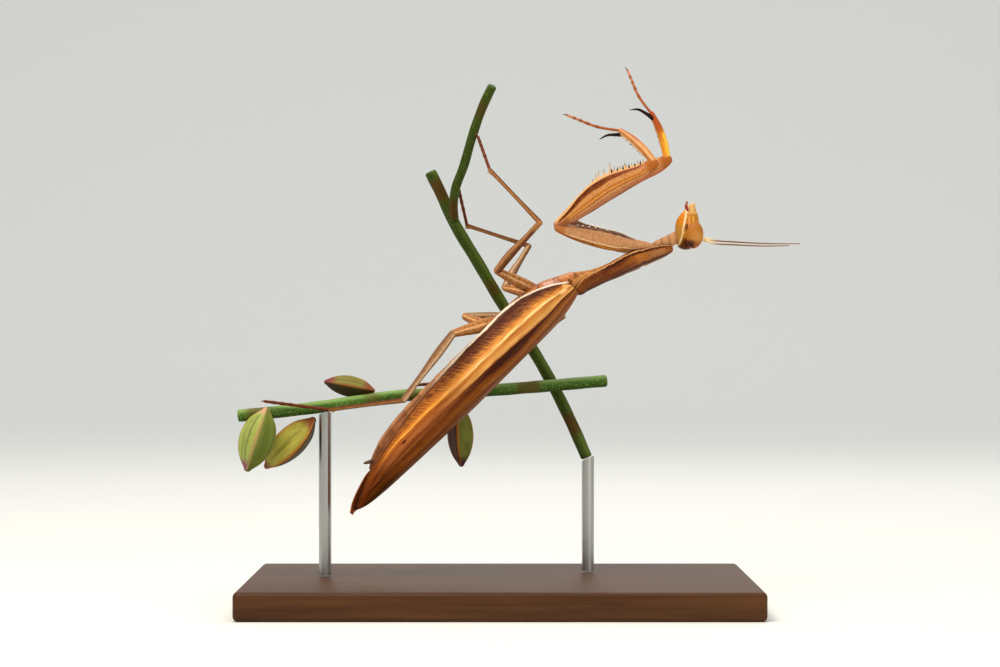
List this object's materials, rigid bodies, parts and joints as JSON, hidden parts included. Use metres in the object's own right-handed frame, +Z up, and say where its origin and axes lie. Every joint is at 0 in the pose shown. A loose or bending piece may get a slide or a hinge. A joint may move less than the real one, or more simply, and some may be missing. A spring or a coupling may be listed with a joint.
{
  "type": "praying mantis model",
  "caption": "Life-size brown praying mantis with folded wings, hanging belly-up under cut green stems with seed pods, held by two thin rods on a flat wooden base.",
  "frame": {"origin": "centre of the underside of the stand's base", "axes": "+Z up; +X from the wing tips towards the head and feelers, along the base's long side; +Y away from the animal's left side, which faces -Y"},
  "size_m": [0.0812, 0.048, 0.078],
  "materials": {
    "cuticle": "satin",
    "pronotum": "satin",
    "eye": "gloss",
    "antenna": "satin",
    "forewing": "satin",
    "hindwing": "satin",
    "stem": "matte",
    "pod": "satin",
    "walnut": "satin",
    "steel": "satin"
  },
  "bodies": {
    "root": {"head": "cuticle", "mouthparts": "cuticle", "neck": "cuticle", "thorax": "cuticle", "abdomen": "cuticle", "cercus_left": "cuticle", "cercus_right": "cuticle", "fore_left_coxa": "cuticle", "fore_left_femur": "cuticle", "fore_left_tibia": "cuticle", "fore_left_tarsus": "cuticle", "fore_right_coxa": "cuticle", "fore_right_femur": "cuticle", "fore_right_tibia": "cuticle", "fore_right_tarsus": "cuticle", "mid_left_coxa": "cuticle", "mid_left_femur": "cuticle", "mid_left_tibia": "cuticle", "mid_left_tarsus": "cuticle", "mid_right_coxa": "cuticle", "mid_right_femur": "cuticle", "mid_right_tibia": "cuticle", "mid_right_tarsus": "cuticle", "hind_left_coxa": "cuticle", "hind_left_femur": "cuticle", "hind_left_tibia": "cuticle", "hind_left_tarsus": "cuticle", "hind_right_coxa": "cuticle", "hind_right_femur": "cuticle", "hind_right_tibia": "cuticle", "hind_right_tarsus": "cuticle", "pronotum": "pronotum", "eye_left": "eye", "eye_right": "eye", "antenna_left": "antenna", "antenna_right": "antenna", "tegmen_left": "forewing", "tegmen_right": "forewing", "hindwing_left": "hindwing", "hindwing_right": "hindwing", "perch_main_stem": "stem", "perch_twig": "stem", "perch_low_stem": "stem", "perch_pod_1": "pod", "perch_pod_2": "pod", "perch_pod_3": "pod", "perch_pod_4": "pod", "stand_base": "walnut", "stand_rod_left": "steel", "stand_rod_right": "steel"}
  },
  "joints": []
}
